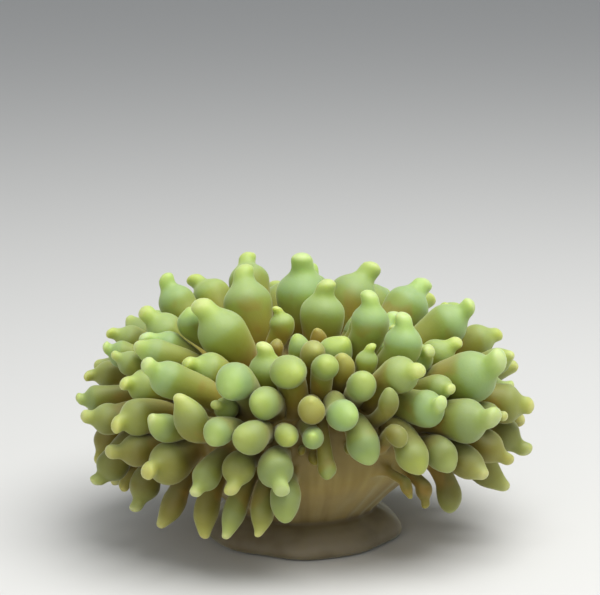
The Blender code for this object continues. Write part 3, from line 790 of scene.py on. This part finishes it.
# Colours along a tentacle, from its root at 0 over the middle of its bulb at 0.5 to its tip at 1.
GREEN = (
    (0.0, (0.33, 0.24, 0.045)),
    (0.2, (0.31, 0.275, 0.045)),
    (0.38, (0.28, 0.3, 0.048)),
    (0.5, (0.27, 0.345, 0.068)),
    (0.57, (0.275, 0.38, 0.13)),
    (0.7, (0.29, 0.41, 0.15)),
    (0.8, (0.345, 0.48, 0.12)),
    (0.92, (0.42, 0.55, 0.155)),
    (1.0, (0.54, 0.63, 0.29)),
)
# Browner colours, and darker than the green ones as painted shade for the outer and lower whorls
BROWN_AND_SHADE = (
    (0.0, (0.15, 0.09, 0.01)),
    (0.4, (0.145, 0.105, 0.011)),
    (0.56, (0.165, 0.135, 0.017)),
    (0.76, (0.225, 0.205, 0.036)),
    (0.9, (0.35, 0.34, 0.1)),
    (1.0, (0.5, 0.49, 0.22)),
)
RUST_COLOURS = (
    (0.0, (0.25, 0.15, 0.015)),
    (0.5, (0.31, 0.235, 0.027)),
    (1.0, (0.46, 0.46, 0.12)),
)
# Colours down the trunk, from the crown at 0 over the column at 0.5 to the foot at 1. The dark band at 0.7,
# the waist under the crown's overhang, is painted shade, and the foot's darker colours at 0.85 and 1.0 are
# partly painted shade too.
TRUNK_COLOURS_AND_SHADE = (
    (0.0, (0.3, 0.235, 0.065)),
    (0.3, (0.31, 0.235, 0.07)),
    (0.5, (0.28, 0.21, 0.072)),
    (0.7, (0.11, 0.08, 0.028)),
    (0.85, (0.15, 0.12, 0.055)),
    (1.0, (0.2, 0.17, 0.105)),
)
FLESH_FROM = (0.05, 0.3)  # how far along a tentacle its own colours take over from the trunk's
YELLOWER, BLUER = (1.08, 1.0, 0.76), (0.93, 1.01, 1.12)  # times the colour, by tentacle
SPOTS, MOST_SPOTS = (0.3, 0.175, 0.022), 0.5  # brown spots on the tentacles
SPOTS_WITHIN, SPOTS_ALONG = (0.54, 0.66), (1.3, 0.7)  # they lie within patches, and below the nipple
PAINTED_TOP_LIGHT, MOST_TOP_LIGHT = (0.37, 0.47, 0.23), 0.25  # painted top light: a pale bloom painted on what faces up, where the overhead light falls
TOP_LIGHT_FACING = (0.1, 1.0)  # how much of a surface's normal points up
DARKER, LIGHTER = (0.84, 0.78, 0.74), (1.1, 1.08, 1.14)  # the trunk's streaks and patches, times its colour
STREAK_EDGES = (0.36, 0.64)
STREAKS_END = (1.1, 1.6)  # how far down the trunk the streaks give way to patches
SPECKLES, MOST_SPECKLES = (0.75, 0.75, 0.7), 0.25  # times the colour all over
SOFT_PATCHES, FINE_PATCHES, GRAIN = 110.0, 420.0, 1600.0  # how many there are to a metre
DRIFT = 0.16  # how far the patches shift the colours along a tentacle
STREAKS_ROUND, STREAKS_UP = 8.0, 45.0  # how close the streaks are round the trunk and up it
GRAIN_STRENGTH, GRAIN_DEPTH = 0.12, 0.3
ROUGHNESS, ROUGHNESS_DRIFT = 0.42, 0.2


class Paint:
    """A material under work: adds nodes to it and links them."""

    def __init__(self, name):
        self.material = bpy.data.materials.new(name)
        self.material.use_nodes = True
        self.tree = self.material.node_tree
        self.shader = self.tree.nodes["Principled BSDF"]
        self.place = self.node("ShaderNodeTexCoord")

    def node(self, kind, **settings):
        made = self.tree.nodes.new(kind)
        for name, value in settings.items():
            setattr(made, name, value)
        return made

    def feed(self, socket, value):
        """Links another node's output to a socket, or sets it to a number, a colour or three numbers."""
        if isinstance(value, bpy.types.NodeSocket):
            self.tree.links.new(value, socket)
        elif socket.type == "RGBA":
            socket.default_value = (*value, 1.0)
        else:
            socket.default_value = value

    def mark(self, name):
        return self.node("ShaderNodeAttribute", attribute_name=name).outputs["Fac"]

    def sums(self, operation, first, second, clamp=False):
        made = self.node("ShaderNodeMath", operation=operation, use_clamp=clamp)
        self.feed(made.inputs[0], first)
        self.feed(made.inputs[1], second)
        return made.outputs[0]

    def ramped(self, factor, stops):
        made = self.node("ShaderNodeValToRGB")
        elements = made.color_ramp.elements
        while len(elements) < len(stops):
            elements.new(0.5)
        for element, (place, colour) in zip(elements, stops):
            element.position = place
            element.color = (*colour, 1.0)
        self.feed(made.inputs["Fac"], factor)
        return made.outputs["Color"]

    def mixed(self, factor, first, second, blend="MIX"):
        made = self.node("ShaderNodeMix", data_type="RGBA", blend_type=blend)
        self.feed(made.inputs["Factor"], factor)
        self.feed(made.inputs["A"], first)
        self.feed(made.inputs["B"], second)
        return made.outputs["Result"]

    def times(self, colour, other):
        return self.mixed(1.0, colour, other, "MULTIPLY")

    def fit(self, value, low, high):
        """0 up to low, 1 from high on, and smoothly between them."""
        made = self.node("ShaderNodeMapRange", interpolation_type="SMOOTHSTEP")
        self.feed(made.inputs["Value"], value)
        self.feed(made.inputs["From Min"], low)
        self.feed(made.inputs["From Max"], high)
        return made.outputs["Result"]

    def noise(self, scale, detail=2.0, at=None):
        made = self.node("ShaderNodeTexNoise")
        self.feed(made.inputs["Scale"], scale)
        self.feed(made.inputs["Detail"], detail)
        self.feed(made.inputs["Vector"], at or self.place.outputs["Object"])
        return made.outputs["Fac"]


def flesh_colour(paint, patches):
    """Green, brown or rusty from root to tip, a little unlike its neighbours, with spots and a pale painted
    top light on what faces up.
    """
    drift = paint.sums("MULTIPLY", paint.sums("SUBTRACT", patches, 0.5), DRIFT)
    along = paint.sums("ADD", paint.sums("MULTIPLY", paint.mark("along"), 0.5), drift, True)
    flesh = paint.mixed(paint.mark("brown_and_shade_share"), paint.ramped(along, GREEN), paint.ramped(along, BROWN_AND_SHADE))
    rusty = paint.fit(paint.mark("brown_and_shade_share"), RUST_FROM, RUST_FULL)
    flesh = paint.mixed(rusty, flesh, paint.ramped(along, RUST_COLOURS))
    flesh = paint.mixed(paint.mark("tint"), paint.times(flesh, YELLOWER), paint.times(flesh, BLUER))
    low_down = paint.fit(paint.mark("along"), *SPOTS_ALONG)
    spots = paint.sums("MULTIPLY", paint.fit(patches, *SPOTS_WITHIN), low_down)
    flesh = paint.mixed(paint.sums("MULTIPLY", spots, MOST_SPOTS), flesh, SPOTS)
    facing = paint.node("ShaderNodeSeparateXYZ")
    paint.feed(facing.inputs[0], paint.place.outputs["Normal"])
    # painted top light: surfaces that face up are paled, as if lit from above
    top_light = paint.sums("MULTIPLY", paint.fit(facing.outputs["Z"], *TOP_LIGHT_FACING), MOST_TOP_LIGHT)
    return paint.mixed(top_light, flesh, PAINTED_TOP_LIGHT)


def trunk_colour(paint, patches):
    """Tan above, and dark below with painted shade under the crown's overhang, with upright streaks on the
    column and soft patches on the foot.
    """
    trunk = paint.ramped(paint.sums("MULTIPLY", paint.mark("down"), 0.5), TRUNK_COLOURS_AND_SHADE)
    place = paint.node("ShaderNodeSeparateXYZ")
    paint.feed(place.inputs[0], paint.place.outputs["Object"])
    round_it = paint.node("ShaderNodeCombineXYZ")
    angle = paint.sums("ARCTAN2", place.outputs["Y"], place.outputs["X"])
    paint.feed(round_it.inputs["X"], paint.sums("MULTIPLY", angle, STREAKS_ROUND))
    paint.feed(round_it.inputs["Z"], paint.sums("MULTIPLY", place.outputs["Z"], STREAKS_UP))
    streaks = paint.noise(1.0, at=round_it.outputs[0])
    pattern = paint.mixed(paint.fit(paint.mark("down"), *STREAKS_END), streaks, patches)
    light = paint.fit(pattern, *STREAK_EDGES)
    return paint.mixed(light, paint.times(trunk, DARKER), paint.times(trunk, LIGHTER))


def skin_finish():
    paint = Paint("anemone flesh")
    soft_patches = paint.noise(SOFT_PATCHES)
    fine_patches = paint.noise(FINE_PATCHES, 3.0)
    trunk, flesh = trunk_colour(paint, soft_patches), flesh_colour(paint, soft_patches)
    colour = paint.mixed(paint.fit(paint.mark("along"), *FLESH_FROM), trunk, flesh)
    speckles = paint.sums("MULTIPLY", fine_patches, MOST_SPECKLES)
    grain = paint.node("ShaderNodeBump")
    paint.feed(grain.inputs["Strength"], GRAIN_STRENGTH)
    paint.feed(grain.inputs["Distance"], GRAIN_DEPTH * MM)
    paint.feed(grain.inputs["Height"], paint.noise(GRAIN))
    settings = {
        "Base Color": paint.mixed(speckles, colour, paint.times(colour, SPECKLES)),
        "Roughness": paint.sums("ADD", paint.sums("MULTIPLY", fine_patches, ROUGHNESS_DRIFT), ROUGHNESS),
        "Normal": grain.outputs["Normal"],
        "Subsurface Weight": 0.6,
        "Subsurface Radius": (1.0, 0.85, 0.3),
        "Subsurface Scale": 4.0 * MM,
        "Specular IOR Level": 0.35,
        "Sheen Weight": 0.35,
        "Sheen Roughness": 0.4,
        "Sheen Tint": (0.97, 1.0, 0.72),
    }
    for name, value in settings.items():
        paint.feed(paint.shader.inputs[name], value)
    return paint.material


# ---- Studio ----

AIM = Vector((-0.0013, 0.0041, 0.0620))  # metres, as are the places and sizes below
CAMERA_PLACE = Vector((-0.0005, -0.5821, 0.1928))
CAMERA_LENS, CAMERA_SENSOR = 136.8, 36.0  # mm
CAMERA_CLIP = 0.01
LIGHTS = (  # name, place, size, power and colour
    ("overhead", (0.18, -0.14, 0.74), 0.7, 8.2, (1.0, 1.0, 0.97)),
    ("front", (-0.3, -0.75, 0.3), 0.6, 1.6, (1.0, 0.98, 0.94)),
)
SKY_COLOUR, SKY_STRENGTH = (0.93, 0.97, 1.0), 0.38
FLOOR_COLOUR, FLOOR_ROUGHNESS = (0.62, 0.615, 0.61), 0.8
FLOOR_SIZE = 30.0  # so that its edge stays out of view


def stand_camera():
    turn = (AIM - CAMERA_PLACE).to_track_quat("-Z", "Y").to_euler()
    bpy.ops.object.camera_add(location=CAMERA_PLACE, rotation=turn)
    camera = bpy.context.object
    camera.data.lens = CAMERA_LENS
    camera.data.sensor_width = CAMERA_SENSOR
    camera.data.clip_start = CAMERA_CLIP
    bpy.context.scene.camera = camera


def hang_light(name, place, size, power, colour):
    """A soft square light that faces the middle of the crown."""
    middle = (solid_box[0] + solid_box[1]) / 2
    turn = (middle - Vector(place)).to_track_quat("-Z", "Y").to_euler()
    bpy.ops.object.light_add(type="AREA", location=place, rotation=turn)
    light = bpy.context.object
    light.name = name
    light.data.size = size
    light.data.energy = power
    light.data.color = colour


def lay_floor():
    bpy.ops.mesh.primitive_plane_add(size=FLOOR_SIZE)
    floor = bpy.context.object
    floor.name = "studio_floor"
    material = bpy.data.materials.new("pale floor")
    material.use_nodes = True
    shader = material.node_tree.nodes["Principled BSDF"]
    shader.inputs["Base Color"].default_value = (*FLOOR_COLOUR, 1.0)
    shader.inputs["Roughness"].default_value = FLOOR_ROUGHNESS
    floor.data.materials.append(material)


def light_room():
    world = bpy.data.worlds.new("studio")
    bpy.context.scene.world = world
    world.use_nodes = True
    sky = world.node_tree.nodes["Background"]
    sky.inputs["Color"].default_value = (*SKY_COLOUR, 1.0)
    sky.inputs["Strength"].default_value = SKY_STRENGTH
    for light in LIGHTS:
        hang_light(*light)
    bpy.context.scene.view_settings.view_transform = "Standard"


# ---- Build ----

stand_camera()
lay_floor()
light_room()
flesh = model_skin(grow())
make_lumpy(flesh)
apply(flesh, "SUBSURF", levels=1, render_levels=1)
bpy.ops.object.shade_smooth()
flesh.data.materials.append(skin_finish())
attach(flesh, "root")
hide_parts(*frame["nodes"])
